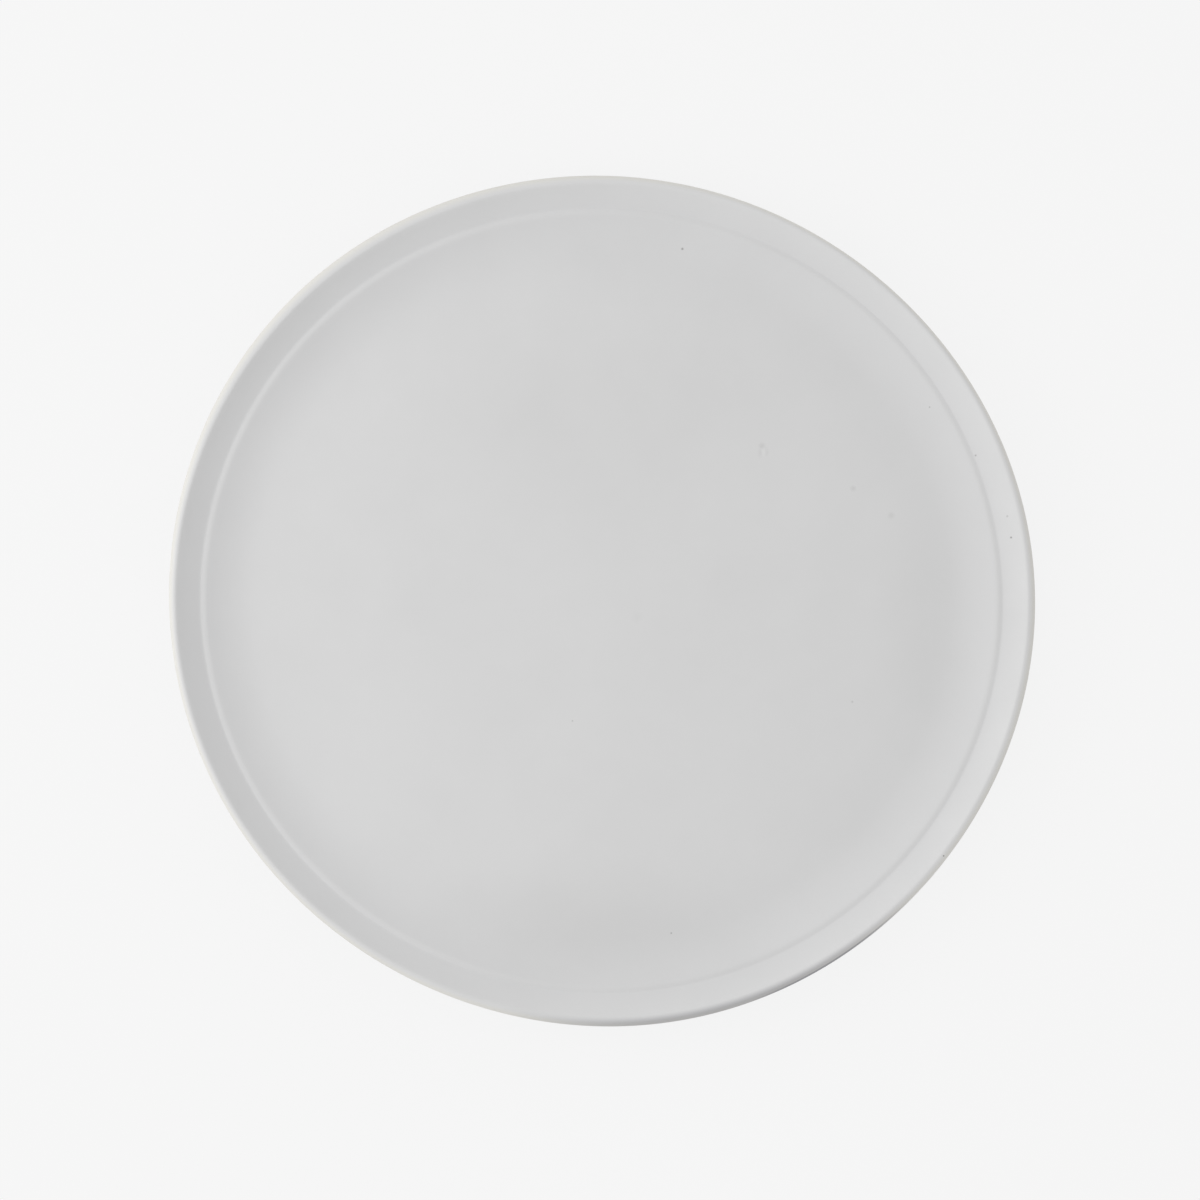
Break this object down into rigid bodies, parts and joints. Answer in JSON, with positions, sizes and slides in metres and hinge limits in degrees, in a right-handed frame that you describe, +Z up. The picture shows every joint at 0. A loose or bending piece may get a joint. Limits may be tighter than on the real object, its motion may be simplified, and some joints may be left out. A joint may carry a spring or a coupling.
{
  "type": "dinner plate",
  "caption": "Shallow round dinner plate in white glazed porcelain, with a low raised rim, a fine ledge line inside it and a foot ring beneath, for serving a meal.",
  "frame": {"origin": "centre of the plate on the table, in the plane of the foot ring's resting face", "axes": "+Z up out of the well, +X along the slightly longer side of the oval outline (right in the picture), +Y away from the viewer (up in the picture)"},
  "size_m": [0.2724, 0.2676, 0.018],
  "materials": {
    "white_glaze": "satin white glaze, neutral, slightly warm where it thins at the lip",
    "bare_porcelain": "matte unglazed porcelain, seen only on the edge of the foot ring"
  },
  "bodies": {
    "root": {"porcelain_body": "bare_porcelain", "foot_ring": "bare_porcelain", "face_glaze": "white_glaze", "back_glaze": "white_glaze", "recess_glaze": "white_glaze"}
  },
  "joints": []
}
